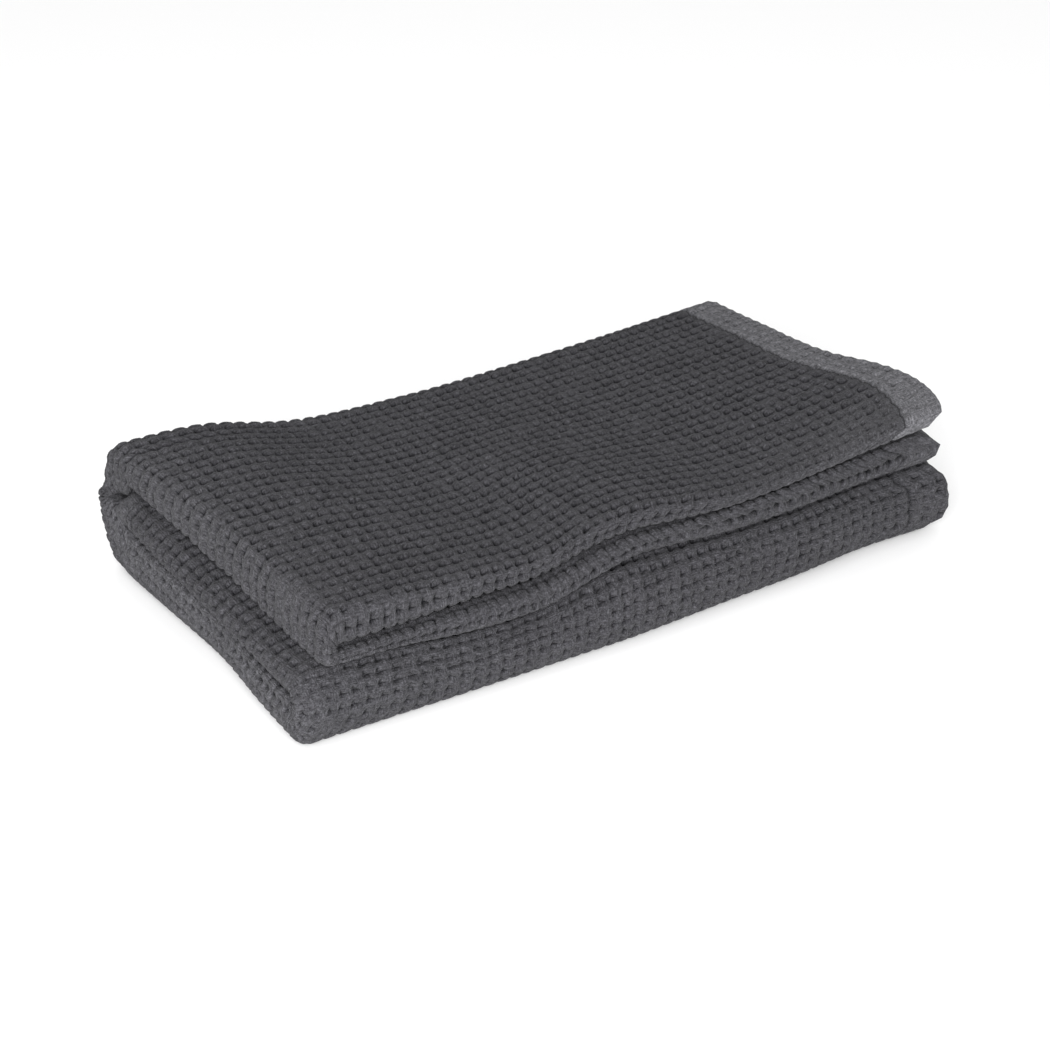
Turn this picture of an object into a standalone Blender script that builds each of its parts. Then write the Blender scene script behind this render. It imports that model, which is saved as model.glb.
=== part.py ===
"""Waffle weave cotton blanket, lying folded as a flat stack.

The blanket is one cloth, hemmed on its four sides. It is cut flat here, with its real thickness, and
then folded in three moves:

1. in half along its length: a long fold down one side, two hemmed edges down the other;
2. in half across: a rounded turn at the left end, the hemmed ends at the right end;
3. in three, like a letter, about the stack's long axis: the bottom third lies on the table, the
   middle third turns up over it at the front, and the top third comes over both from the back.

Each third is four layers thick, so the stack is twelve layers high. The long fold ends the top third
at the front, as two rolls, one for each layer of the fold across. The hemmed edges lie at the back,
inside the turn between the bottom and the top third.

Frame: metres, +Z up. X runs along the stack from its rounded left end to its hemmed right end, and Y
from the front to the back. The origin is the middle of the footprint, on the surface it lies on.
"""

import math

import bpy
import bmesh
import numpy as np

NAME = "waffle_blanket"
MM = 0.001

# The cloth.
THICKNESS = 4.2 * MM
PITCH = 7.8 * MM             # from one layer to the next, before the stack settles

# Heights in the even stack. Each third of the letter fold is four layers.
LAYERS = 12
TABLE_LEVEL = PITCH / 2 - THICKNESS / 2
TOP_LEVEL = LAYERS * PITCH - TABLE_LEVEL

# Ends and turns, in the folding frame, before the stack settles.
LEFT_TURN = -190 * MM        # X where the fold across starts to turn
RIGHT_END = 365 * MM         # X of the hemmed ends
FRONT_TURN = -30 * MM        # Y where the bottom third turns up
BACK_TURN = 256 * MM         # Y where the bottom third turns up round the hemmed edges
LONG_FOLD = -38 * MM         # Y where the long fold starts, at the front of the top third
HEMMED_EDGES = 240 * MM      # Y of the two hemmed edges, at the back of the middle third
LEFT_ROUNDNESS = 0.90        # how far a turn stands out, as a part of its half height
FRONT_ROUNDNESS = 0.62
BACK_ROUNDNESS = 0.60
ARC_SHARE = 0.82             # length of such a flattened turn, as a part of a round one's
LEFT_ARC_SHARE = 0.95
FOOTPRINT_MIDDLE = (0.0763, 0.1097)  # moved to the origin at the end

COLOUR = (0.052, 0.052, 0.056, 1.0)
ROUGHNESS = 0.95


def table(names, *rows):
    """Return a table's columns by name; its rows are in millimetres."""
    columns = np.array(rows, dtype=float).T * MM
    return dict(zip(names.split(), columns))


# How the stack has settled. Heights are those of the top of the bottom third, of the middle third, of
# the lower roll and of the whole stack.
FRONT_HEIGHTS = table(
    "x bottom middle lower top",
    (-210, 35, 60, 70, 97),
    (-140, 32, 57, 70, 94),
    (-80, 28, 51, 71, 89),
    (-20, 27, 51, 71, 86),
    (30, 28, 58, 77, 93),
    (70, 29, 62, 80, 97),
    (110, 29, 60, 77, 95),
    (160, 29, 57, 75, 91),
    (240, 30, 57, 76, 93),
    (370, 31, 59, 80, 105),
)
BACK_HEIGHTS = table(
    "x bottom middle lower top",
    (-210, 43, 75, 87, 99),
    (-130, 36, 68, 84, 100),
    (-60, 30, 58, 73, 87),
    (40, 30, 57, 72, 85),
    (140, 30, 57, 72, 86),
    (240, 31, 59, 74, 88),
    (370, 31, 62, 78, 92),
)
# How far the front of each roll lies back from a straight line.
FRONT_LINES = table(
    "x bottom lower upper",
    (-210, 0, -3, 0),
    (-140, 0, -3, 2),
    (-80, 0, -4, 5),
    (-20, 0, -3, 9),
    (30, 0, 3, 14),
    (70, 0, 8, 13),
    (110, 2, 9, 9),
    (160, 5, 8, 6),
    (240, 9, 10, 8),
    (300, 15, 14, 12),
    (370, 15, 15, 15),
)
BACK_LINE = table(
    "x back",
    (-210, -16),
    (-80, -22),
    (40, -28),
    (180, -24),
    (370, -15),
)
# How far the rounded left end of each third lies to the right of a straight line.
LEFT_LINES = table(
    "y bottom middle top",
    (-50, 5, 6, 26),
    (20, 6, 4, 23),
    (90, 9, 2, 20),
    (160, 5, -1, 16),
    (220, 1, -1, 13),
    (280, -2, 1, 11),
)
# How far the hemmed ends lie to the right of a straight line.
RIGHT_LINES = table(
    "y bottom middle lower upper top",
    (-50, -12, -15, -22, -36, -24),
    (20, -11, -14, -20, -22, -8),
    (100, -12, -12, -20, -30, -22),
    (200, -12, -12, -20, -39, -33),
    (280, -12, -12, -20, -42, -35),
)

# Lengths along the cloth.
LAYER_LENGTH = RIGHT_END - LEFT_TURN
LEFT_ARC = math.pi * PITCH * LEFT_ARC_SHARE
MIDDLE_DEPTH = HEMMED_EDGES - FRONT_TURN
FRONT_ARC = math.pi * 2 * PITCH * ARC_SHARE
BOTTOM_DEPTH = BACK_TURN - FRONT_TURN
BACK_ARC = math.pi * 4 * PITCH * ARC_SHARE
TOP_DEPTH = BACK_TURN - LONG_FOLD
LONG_FOLD_ARC = math.pi * PITCH / 2
HALF_WIDTH = MIDDLE_DEPTH + FRONT_ARC + BOTTOM_DEPTH + BACK_ARC + TOP_DEPTH
FLAT_LENGTH = 2 * LAYER_LENGTH + LEFT_ARC
FLAT_WIDTH = 2 * HALF_WIDTH + LONG_FOLD_ARC

# Levels in the even stack at which the columns of the tables above hold.
SEAM_LEVELS = (TABLE_LEVEL, 4 * PITCH, 8 * PITCH, 10 * PITCH, TOP_LEVEL)
FRONT_LEVELS = (6 * PITCH, 9 * PITCH, 11 * PITCH)
LEFT_LEVELS = (2 * PITCH, 6 * PITCH, 10 * PITCH)
RIGHT_LEVELS = (2 * PITCH, 6 * PITCH, 9 * PITCH, 10.5 * PITCH, 11.5 * PITCH)

# Equal steps of the mesh along each length of the cloth.
LAYER_STEPS = 12
LEFT_ARC_STEPS = 6
DEPTH_STEPS = 6
FRONT_ARC_STEPS = 8
BACK_ARC_STEPS = 10
LONG_FOLD_STEPS = 6


def ease(share):
    """Return a share of 0 to 1 with a soft start and end."""
    share = np.clip(share, 0.0, 1.0)
    return share * share * (3.0 - 2.0 * share)


def read_column(rows, key, name, where):
    """Return a table's column at the places asked for, on a smooth curve through its rows."""
    places = rows[key]
    values = rows[name]
    slopes = np.gradient(values, places)
    where = np.clip(where, places[0], places[-1])
    row = np.clip(np.searchsorted(places, where, side="right") - 1, 0, len(places) - 2)
    step = places[row + 1] - places[row]
    t = (where - places[row]) / step
    rise = values[row + 1] - values[row]
    from_start = values[row] + rise * t * t * (3.0 - 2.0 * t)
    start_slope = slopes[row] * step * t * (1.0 - t) ** 2
    end_slope = slopes[row + 1] * step * t * t * (t - 1.0)
    return from_start + start_slope + end_slope


def between_levels(height, levels, values):
    """Blend values that hold at rising levels of the stack."""
    blend = values[0].copy()
    for low, high, before, after in zip(levels, levels[1:], values, values[1:]):
        blend += ease((height - low) / (high - low)) * (after - before)
    return blend


def settled_height(x, y, height):
    """Map a height in the even stack to its height in the settled one, rising all the way."""
    depth = ease((y - LONG_FOLD) / (BACK_TURN - LONG_FOLD))
    tops = [np.zeros_like(height)]
    for name in ("bottom", "middle", "lower", "top"):
        front = read_column(FRONT_HEIGHTS, "x", name, x)
        back = read_column(BACK_HEIGHTS, "x", name, x)
        tops.append(front + depth * (back - front))
    steps = np.diff(SEAM_LEVELS)
    grades = [(high - low) / step for low, high, step in zip(tops, tops[1:], steps)]
    slopes = [grades[0]]
    slopes += [2.0 * a * b / (a + b) for a, b in zip(grades, grades[1:])]
    slopes.append(grades[-1])
    height = np.clip(height, TABLE_LEVEL, TOP_LEVEL)
    settled = np.zeros_like(height)
    for index, step in enumerate(steps):
        t = (height - SEAM_LEVELS[index]) / step
        rise = tops[index + 1] - tops[index]
        piece = tops[index] + rise * t * t * (3.0 - 2.0 * t)
        piece += slopes[index] * step * t * (1.0 - t) ** 2
        piece += slopes[index + 1] * step * t * t * (t - 1.0)
        inside = (t >= 0.0) & (t <= 1.0)
        settled = np.where(inside, piece, settled)
    return settled


def settle(x, y, height):
    """Move points of the even stack to where the uneven, settled stack has them."""
    fronts = [read_column(FRONT_LINES, "x", name, x) for name in ("bottom", "lower", "upper")]
    front = between_levels(height, FRONT_LEVELS, fronts)
    back = read_column(BACK_LINE, "x", "back", x)
    lefts = [read_column(LEFT_LINES, "y", name, y) for name in ("bottom", "middle", "top")]
    left = between_levels(height, LEFT_LEVELS, lefts)
    names = ("bottom", "middle", "lower", "upper", "top")
    rights = [read_column(RIGHT_LINES, "y", name, y) for name in names]
    right = between_levels(height, RIGHT_LEVELS, rights)
    to_back = ease((y - FRONT_TURN) / BOTTOM_DEPTH)
    to_right = ease((x - LEFT_TURN) / LAYER_LENGTH)
    settled_x = x + left + to_right * (right - left)
    settled_y = y + front + to_back * (back - front)
    return settled_x, settled_y, settled_height(x, y, height)


def letter_fold(width):
    """Return the letter fold's middle line at a distance from the hemmed edges.

    The result is y and z on the line, and the y and z by which one metre of offset towards the
    outside of the blanket moves a point there.
    """
    ends = np.cumsum([MIDDLE_DEPTH, FRONT_ARC, BOTTOM_DEPTH, BACK_ARC])
    front = np.clip((width - ends[0]) / FRONT_ARC, 0.0, 1.0) * math.pi
    back = np.clip((width - ends[2]) / BACK_ARC, 0.0, 1.0) * math.pi
    bottom_run = np.clip(width - ends[1], 0.0, BOTTOM_DEPTH)
    y = HEMMED_EDGES - np.clip(width, 0.0, MIDDLE_DEPTH)
    y = y + bottom_run - np.clip(width - ends[3], 0.0, None)
    y = y - FRONT_ROUNDNESS * 2 * PITCH * np.sin(front) + BACK_ROUNDNESS * 4 * PITCH * np.sin(back)
    z = 4 * PITCH + 2 * PITCH * np.cos(front) + 4 * PITCH * (1.0 - np.cos(back))
    out_y = BACK_ROUNDNESS * np.sin(back) - FRONT_ROUNDNESS * np.sin(front)
    out_z = np.cos(front) + 1.0 - np.cos(back)
    return y, z, out_y, out_z


def fold(along, across, lift):
    """Fold points of the flat cloth into the settled stack.

    along runs over the flat length from one hemmed end to the other, across over the flat width
    from one hemmed edge to the other, and lift is the height above the cloth's middle.
    """
    turned = np.clip((along - LAYER_LENGTH) / LEFT_ARC, 0.0, 1.0) * math.pi
    x = RIGHT_END - np.clip(along, 0.0, LAYER_LENGTH)
    x = x + np.clip(along - LAYER_LENGTH - LEFT_ARC, 0.0, LAYER_LENGTH)
    rolled = np.clip((across - HALF_WIDTH) / LONG_FOLD_ARC, 0.0, 1.0) * math.pi
    width = np.minimum(across, FLAT_WIDTH - across)
    width = np.minimum(width, HALF_WIDTH)
    offset = PITCH + (PITCH / 2 + lift) * np.cos(rolled)
    forward = (PITCH / 2 + lift) * np.sin(rolled)
    y, z, out_y, out_z = letter_fold(width)
    height = offset * np.cos(turned)
    x = x - LEFT_ROUNDNESS * offset * np.sin(turned)
    y = y + out_y * height - forward
    z = z + out_z * height
    return settle(x, y, z)


def stations(*spans):
    """Return rising distances, from spans of a length and a number of equal steps."""
    marks = [0.0]
    for length, steps in spans:
        start = marks[-1]
        marks.extend(start + length * (step + 1) / steps for step in range(steps))
    return np.array(marks)


def flat_cloth():
    """Return the cloth cut flat, with its thickness still to come from a Solidify modifier."""
    layer = (LAYER_LENGTH, LAYER_STEPS)
    along = stations(layer, (LEFT_ARC, LEFT_ARC_STEPS), layer)
    half = [
        (MIDDLE_DEPTH, DEPTH_STEPS),
        (FRONT_ARC, FRONT_ARC_STEPS),
        (BOTTOM_DEPTH, DEPTH_STEPS),
        (BACK_ARC, BACK_ARC_STEPS),
        (TOP_DEPTH, DEPTH_STEPS),
    ]
    across = stations(*half, (LONG_FOLD_ARC, LONG_FOLD_STEPS), *reversed(half))
    columns = len(along) - 1
    rows = len(across) - 1
    sheet = bmesh.new()
    bmesh.ops.create_grid(sheet, x_segments=columns, y_segments=rows, size=0.5)
    for vertex in sheet.verts:
        column = round((vertex.co.x + 0.5) * columns)
        row = round((vertex.co.y + 0.5) * rows)
        vertex.co = (along[column], across[row], 0.0)
    mesh = bpy.data.meshes.new(NAME)
    sheet.to_mesh(mesh)
    sheet.free()
    cloth = bpy.data.objects.new(NAME, mesh)
    solidify = cloth.modifiers.new("thickness", "SOLIDIFY")
    solidify.thickness = THICKNESS
    solidify.offset = 0.0
    return cloth


def fold_mesh(mesh):
    """Move a flat mesh's points, whose x, y and z are along, across and lift, into the stack."""
    points = np.empty(3 * len(mesh.vertices))
    mesh.vertices.foreach_get("co", points)
    along, across, lift = points.reshape(-1, 3).T
    x, y, z = fold(along, across, lift)
    x = x - FOOTPRINT_MIDDLE[0]
    y = y - FOOTPRINT_MIDDLE[1]
    mesh.vertices.foreach_set("co", np.column_stack([x, y, z]).ravel())
    mesh.update()


def cotton():
    """Return the blanket's plain material."""
    material = bpy.data.materials.new("charcoal_cotton")
    material.use_nodes = True
    shader = material.node_tree.nodes["Principled BSDF"]
    shader.inputs["Base Color"].default_value = COLOUR
    shader.inputs["Roughness"].default_value = ROUGHNESS
    shader.inputs["Metallic"].default_value = 0.0
    return material


def build_blanket(collection):
    """Cut, fold and place the blanket."""
    cloth = flat_cloth()
    collection.objects.link(cloth)
    bpy.context.view_layer.update()
    evaluated = cloth.evaluated_get(bpy.context.evaluated_depsgraph_get())
    mesh = bpy.data.meshes.new_from_object(evaluated)
    cloth.modifiers.clear()
    cloth.data = mesh
    fold_mesh(mesh)
    mesh.materials.clear()
    mesh.materials.append(cotton())
    mesh.shade_smooth()
    return cloth


def main():
    for old in list(bpy.data.objects):
        bpy.data.objects.remove(old)
    collection = bpy.data.collections.new(NAME + "_parts")
    bpy.context.scene.collection.children.link(collection)
    build_blanket(collection)


main()
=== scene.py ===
"""Folded waffle weave blanket: the cloth's weave, hems, finish and studio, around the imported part.

The blanket is one cloth, folded in half along its length, in half across and then in three. Its
surface is a function of two lengths on the flat cloth, along and across, and of the height above
the cloth's middle. The weave is a lattice of square cells on that surface: column lines run across
the cloth and row lines along it, both numbered from the hemmed corner at the right-hand end.
"""

import logging
import math
from dataclasses import dataclass, field
from enum import Enum
from typing import NamedTuple

import bpy
import numpy as np
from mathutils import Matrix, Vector


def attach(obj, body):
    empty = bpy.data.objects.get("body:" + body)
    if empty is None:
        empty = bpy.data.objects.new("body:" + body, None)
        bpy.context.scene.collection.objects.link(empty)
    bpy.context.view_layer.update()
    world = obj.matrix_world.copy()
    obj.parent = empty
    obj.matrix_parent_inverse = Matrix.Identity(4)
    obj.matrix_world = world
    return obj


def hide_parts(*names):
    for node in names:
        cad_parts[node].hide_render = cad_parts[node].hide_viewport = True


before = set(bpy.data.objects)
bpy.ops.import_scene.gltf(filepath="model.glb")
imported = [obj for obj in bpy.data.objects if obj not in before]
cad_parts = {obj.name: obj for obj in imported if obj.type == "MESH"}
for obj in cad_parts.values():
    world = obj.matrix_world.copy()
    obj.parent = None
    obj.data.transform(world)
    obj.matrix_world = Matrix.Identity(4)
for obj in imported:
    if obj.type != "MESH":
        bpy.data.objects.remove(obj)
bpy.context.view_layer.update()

MM = 0.001
PROBE = 0.2 * MM  # half the distance over which a surface's slopes are taken
EDGE_PROBE = 1.0 * MM  # the same at the cloth's own edges
NO_LENGTH = 1e-9  # a length too short to have a direction
MIDDLE = 0.5  # a cell's middle, where its pit is
NODE = "waffle_blanket"
Array = np.ndarray
Table = dict[str, Array]
Triple = tuple[float, float, float]
Socket = bpy.types.NodeSocket
Tree = bpy.types.NodeTree
Piece = bpy.types.Object
Material = bpy.types.Material
log = logging.getLogger("blanket")


def table(names: str, *rows: tuple[float, ...]) -> Table:
    """Return a table's columns by name.

    Args:
        names: the columns' names, the first of them the key.
        rows: the rows, in millimetres.

    Returns:
        Each column in metres.
    """
    values = np.array(rows, dtype=float).T * MM
    return dict(zip(names.split(), values))


# How the stack has settled, as in the part's source: heights of the top of the bottom third, of the
# middle third, of the lower roll and of the whole stack, then how far each edge lies from straight.
FRONT_HEIGHTS = table(
    "x bottom middle lower top",
    (-210, 35, 60, 70, 97),
    (-140, 32, 57, 70, 94),
    (-80, 28, 51, 71, 89),
    (-20, 27, 51, 71, 86),
    (30, 28, 58, 77, 93),
    (70, 29, 62, 80, 97),
    (110, 29, 60, 79, 95),
    (160, 29, 57, 79, 91),
    (240, 30, 57, 82, 93),
    (370, 31, 59, 88, 105),
)
BACK_HEIGHTS = table(
    "x bottom middle lower top",
    (-210, 43, 75, 87, 99),
    (-130, 36, 68, 84, 100),
    (-60, 30, 58, 73, 87),
    (40, 30, 57, 72, 85),
    (140, 30, 57, 72, 86),
    (240, 31, 59, 74, 88),
    (370, 31, 62, 78, 92),
)
FRONT_LINES = table(
    "x bottom lower upper",
    (-210, 0, -3, 0),
    (-140, 0, -3, 2),
    (-80, 0, -4, 5),
    (-20, 0, -3, 9),
    (30, 0, 3, 14),
    (70, 0, 8, 13),
    (110, 2, 9, 9),
    (160, 5, 8, 6),
    (240, 9, 10, 8),
    (300, 15, 14, 12),
    (370, 15, 15, 15),
)
BACK_LINE = table(
    "x back",
    (-210, -16),
    (-80, -22),
    (40, -28),
    (180, -24),
    (370, -15),
)
LEFT_LINES = table(
    "y bottom middle top",
    (-50, 5, 6, 26),
    (20, 6, 4, 23),
    (90, 9, 2, 20),
    (160, 5, -1, 14),
    (220, 1, -1, 8),
    (280, -2, 1, 5),
)
RIGHT_LINES = table(
    "y floor bottom middle under lower over upper top",
    (-50, -30, -13, -16, -33, -24, -42, -38, -28),
    (-25, -24, -11, -14, -25, -20, -34, -29, -15),
    (5, -14, -11, -13, -18, -17, -25, -22, -7),
    (35, -12, -11, -13, -15, -18, -22, -22, -7),
    (100, -12, -12, -12, -15, -20, -26, -31, -24),
    (200, -12, -12, -12, -15, -20, -29, -34, -28),
    (280, -12, -12, -12, -15, -20, -31, -40, -33),
)


def ease(share: Array) -> Array:
    """Return a share of 0 to 1 with a soft start and end: 3 s^2 - 2 s^3."""
    share = np.clip(share, 0.0, 1.0)
    return share * share * (3.0 - 2.0 * share)


def read_column(rows: Table, key: str, name: str, where: Array) -> Array:
    """Return a table's column on a smooth curve through its rows.

    Between two rows the curve is the cubic that has the rows' values and their mean slopes.

    Args:
        rows: the table.
        key: the column that gives the rows' places.
        name: the column to read.
        where: the places asked for.

    Returns:
        The column's value at each place.
    """
    places = rows[key]
    values = rows[name]
    slopes = np.gradient(values, places)
    where = np.clip(where, places[0], places[-1])
    row = np.clip(np.searchsorted(places, where, side="right") - 1, 0, len(places) - 2)
    step = places[row + 1] - places[row]
    t = (where - places[row]) / step
    rise = values[row + 1] - values[row]
    start_slope = slopes[row] * step * t * (1.0 - t) ** 2
    end_slope = slopes[row + 1] * step * t * t * (t - 1.0)
    return values[row] + rise * ease(t) + start_slope + end_slope


def between_levels(height: Array, levels: tuple[float, ...], values: list[Array]) -> Array:
    """Blend values that hold at rising levels of the stack, with soft steps between them.

    From one level to the next the value goes over by 3 s^2 - 2 s^3, with s the share of the way.

    Args:
        height: heights in the even stack.
        levels: the levels, from low to high.
        values: what holds at each level.

    Returns:
        The value at each height.
    """
    blend = values[0].copy()
    for low, high, before, after in zip(levels, levels[1:], values, values[1:]):
        blend += ease((height - low) / (high - low)) * (after - before)
    return blend


def in_middle(place: Array) -> Array:
    """Return 1 in the middle of a cell and 0 on its lines: 4 u (1 - u), with u the place in it."""
    inside = place - np.floor(place)
    return 4.0 * inside * (1.0 - inside)


@dataclass
class FoldedCloth:
    """The folded cloth's surface, in the part's own sizes.

    Args:
        thickness: the cloth's thickness, from hollow to crest.
        pitch: from one layer to the next, before the stack settles.
        left_turn: X where the fold across starts to turn.
        right_end: X of the hemmed ends.
        front_turn: Y where the bottom third turns up.
        back_turn: Y where it turns up round the hemmed edges.
        long_fold: Y where the long fold starts, at the front of the top third.
        hemmed_edges: Y of the two hemmed edges.
        left_roundness: how far a turn stands out, as a part of its half height.
        front_roundness: the same at the front.
        back_roundness: the same at the back.
        arc_share: a flattened turn's length, as a part of a round one's.
        left_arc_share: the same at the left end.
        closing_start: how far before the hemmed edges the thirds start to close up behind them.
        closing_run: over what distance they close up.
        closing: the part of the gap by which each of the two closes up.
        footprint_middle: X and Y that become the origin.
        seam_layers: layers under each seam between the thirds and rolls.
        front_layers: layers under each level at which FRONT_LINES holds.
        left_layers: the same for LEFT_LINES.
        right_layers: the same for RIGHT_LINES.
    """

    thickness: float = 4.2 * MM
    pitch: float = 7.8 * MM
    left_turn: float = -190 * MM
    right_end: float = 365 * MM
    front_turn: float = -30 * MM
    back_turn: float = 256 * MM
    long_fold: float = -38 * MM
    hemmed_edges: float = 240 * MM
    left_roundness: float = 0.90
    front_roundness: float = 0.62
    back_roundness: float = 0.60
    arc_share: float = 0.82
    left_arc_share: float = 0.95
    closing_start: float = 6 * MM
    closing_run: float = 16 * MM
    closing: float = 0.42
    footprint_middle: tuple[float, float] = (0.0763, 0.1097)
    seam_layers: tuple[float, ...] = (4, 8, 10)
    front_layers: tuple[float, ...] = (6, 9, 11)
    left_layers: tuple[float, ...] = (2, 6, 10)
    right_layers: tuple[float, ...] = (0.4, 2, 6, 8.2, 9, 9.8, 10.5, 11.5)

    def __post_init__(self) -> None:
        """Work out the lengths along the cloth and the levels of the even stack."""
        pitch = self.pitch
        self.third = 4 * pitch
        self.table_level = pitch / 2 - self.thickness / 2
        self.top_level = 3 * self.third - self.table_level
        seams, self.front_levels, self.left_levels, self.right_levels = (
            tuple(pitch * layers for layers in counts)
            for counts in (
                self.seam_layers, self.front_layers, self.left_layers, self.right_layers
            )
        )
        self.seam_levels = (self.table_level, *seams, self.top_level)
        self.layer_length = self.right_end - self.left_turn
        self.left_arc = math.pi * pitch * self.left_arc_share
        self.middle_depth = self.hemmed_edges - self.front_turn
        self.front_arc = math.pi * self.third / 2 * self.arc_share
        self.bottom_depth = self.back_turn - self.front_turn
        self.back_arc = math.pi * self.third * self.arc_share
        self.top_depth = self.back_turn - self.long_fold
        self.long_fold_arc = math.pi * pitch / 2
        self.turn_marks = np.cumsum([
            self.middle_depth, self.front_arc, self.bottom_depth, self.back_arc, self.top_depth
        ])
        self.half_width = float(self.turn_marks[-1])
        self.flat_length = 2 * self.layer_length + self.left_arc
        self.flat_width = 2 * self.half_width + self.long_fold_arc

    def settled_height(self, x: Array, y: Array, height: Array) -> Array:
        """Map a height in the even stack to the settled one.

        Between two seams the settled height is a cubic of the even one. Its slope at a seam is the
        harmonic mean of the slopes on both sides, so that it rises all the way. Behind the hemmed
        edges the bottom and top thirds close up on each other.

        Args:
            x: places along the even stack.
            y: places across the even stack.
            height: heights in the even stack.

        Returns:
            The settled heights.
        """
        depth = ease((y - self.long_fold) / (self.back_turn - self.long_fold))
        tops = [np.zeros_like(height)]
        for name in ("bottom", "middle", "lower", "top"):
            front = read_column(FRONT_HEIGHTS, "x", name, x)
            back = read_column(BACK_HEIGHTS, "x", name, x)
            tops.append(front + depth * (back - front))
        behind = ease((y - self.hemmed_edges + self.closing_start) / self.closing_run)
        pinch = self.closing * behind * (tops[2] - tops[1])
        tops[1] = tops[1] + pinch
        tops[2] = tops[2] - pinch
        steps = np.diff(self.seam_levels)
        grades = [(high - low) / step for low, high, step in zip(tops, tops[1:], steps)]
        slopes = [grades[0]]
        slopes += [2.0 * a * b / (a + b) for a, b in zip(grades, grades[1:])]
        slopes.append(grades[-1])
        height = np.clip(height, self.table_level, self.top_level)
        settled = np.zeros_like(height)
        for index, step in enumerate(steps):
            t = (height - self.seam_levels[index]) / step
            piece = tops[index] + (tops[index + 1] - tops[index]) * t * t * (3.0 - 2.0 * t)
            piece += slopes[index] * step * t * (1.0 - t) ** 2
            piece += slopes[index + 1] * step * t * t * (t - 1.0)
            settled = np.where((t >= 0.0) & (t <= 1.0), piece, settled)
        return settled

    def settle(self, x: Array, y: Array, height: Array) -> Array:
        """Move points of the even stack to where the uneven, settled stack has them.

        A point is shifted by the shift of the edges on both sides of it, blended by how far it lies
        between them.

        Args:
            x: places along the even stack.
            y: places across the even stack.
            height: heights in the even stack.

        Returns:
            The points, in the part's frame.
        """
        fronts = [read_column(FRONT_LINES, "x", name, x) for name in ("bottom", "lower", "upper")]
        front = between_levels(height, self.front_levels, fronts)
        back = read_column(BACK_LINE, "x", "back", x)
        lefts = [read_column(LEFT_LINES, "y", name, y) for name in ("bottom", "middle", "top")]
        left = between_levels(height, self.left_levels, lefts)
        names = ("floor", "bottom", "middle", "under", "lower", "over", "upper", "top")
        rights = [read_column(RIGHT_LINES, "y", name, y) for name in names]
        right = between_levels(height, self.right_levels, rights)
        to_back = ease((y - self.front_turn) / self.bottom_depth)
        to_right = ease((x - self.left_turn) / self.layer_length)
        settled_x = x + left + to_right * (right - left) - self.footprint_middle[0]
        settled_y = y + front + to_back * (back - front) - self.footprint_middle[1]
        return np.stack([settled_x, settled_y, self.settled_height(x, y, height)], axis=-1)

    def letter_fold(self, width: Array) -> tuple[Array, Array, Array, Array]:
        """Return the letter fold's middle line at a distance from the hemmed edges.

        The line runs forward over the middle third, half round the front turn, back over the bottom
        third, half round the back turn and forward over the top third. A turn is half an ellipse.

        Args:
            width: distances from the hemmed edges, along the cloth.

        Returns:
            y and z on the line, and the y and z by which an offset of one metre moves a point.
        """
        front_start, front_end, back_start, back_end, _ = self.turn_marks
        third = self.third
        front = np.clip((width - front_start) / self.front_arc, 0.0, 1.0) * math.pi
        back = np.clip((width - back_start) / self.back_arc, 0.0, 1.0) * math.pi
        bottom_run = np.clip(width - front_end, 0.0, self.bottom_depth)
        y = self.hemmed_edges - np.clip(width, 0.0, self.middle_depth)
        y = y + bottom_run - np.clip(width - back_end, 0.0, None)
        y = y - self.front_roundness * third / 2 * np.sin(front)
        y = y + self.back_roundness * third * np.sin(back)
        z = third + third / 2 * np.cos(front) + third * (1.0 - np.cos(back))
        out_y = self.back_roundness * np.sin(back) - self.front_roundness * np.sin(front)
        out_z = np.cos(front) + 1.0 - np.cos(back)
        return y, z, out_y, out_z

    def place(self, along: Array, across: Array, lift: Array | float) -> Array:
        """Fold points of the flat cloth into the settled stack.

        Args:
            along: distance over the flat length, from the upper hemmed end to the lower one.
            across: distance over the flat width, from one hemmed edge to the other.
            lift: height above the cloth's middle.

        Returns:
            The points, in the part's frame.
        """
        pitch = self.pitch
        turned = np.clip((along - self.layer_length) / self.left_arc, 0.0, 1.0) * math.pi
        x = self.right_end - np.clip(along, 0.0, self.layer_length)
        x = x + np.clip(along - self.layer_length - self.left_arc, 0.0, self.layer_length)
        rolled = np.clip((across - self.half_width) / self.long_fold_arc, 0.0, 1.0) * math.pi
        width = np.minimum(np.minimum(across, self.flat_width - across), self.half_width)
        offset = pitch + (pitch / 2 + lift) * np.cos(rolled)
        forward = (pitch / 2 + lift) * np.sin(rolled)
        y, z, out_y, out_z = self.letter_fold(width)
        height = offset * np.cos(turned)
        x = x - self.left_roundness * offset * np.sin(turned)
        return self.settle(x, y + out_y * height - forward, z + out_z * height)


class Side(Enum):
    """The two faces of the cloth: the one that the folds show, and the one inside the long fold."""

    SHOWN = 1
    INNER = -1


class Grain(Enum):
    """Mesh steps in a weave cell: fine where the weave shows, coarse where it is hidden."""

    FINE = 6
    COARSE = 2


class TurnRows(NamedTuple):
    """Rows at which the fold's turns start and end, counted from the upper layer's hemmed edge."""

    front_start: float
    front_end: float
    back_start: float
    back_end: float
    long_start: float
    long_end: float


class CellValue(Enum):
    """What every cell has of its own: its depth, and how far its middle is shifted."""

    DEPTH = 0
    COLUMN_SHIFT = 1
    ROW_SHIFT = 2


@dataclass(frozen=True)
class Panel:
    """A rectangle of the weave's lattice, with the grain of its mesh.

    Args:
        columns: first and last column line.
        rows: first and last row line.
        grain: how fine its mesh is.
    """

    columns: tuple[int, int]
    rows: tuple[int, int]
    grain: Grain


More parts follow.
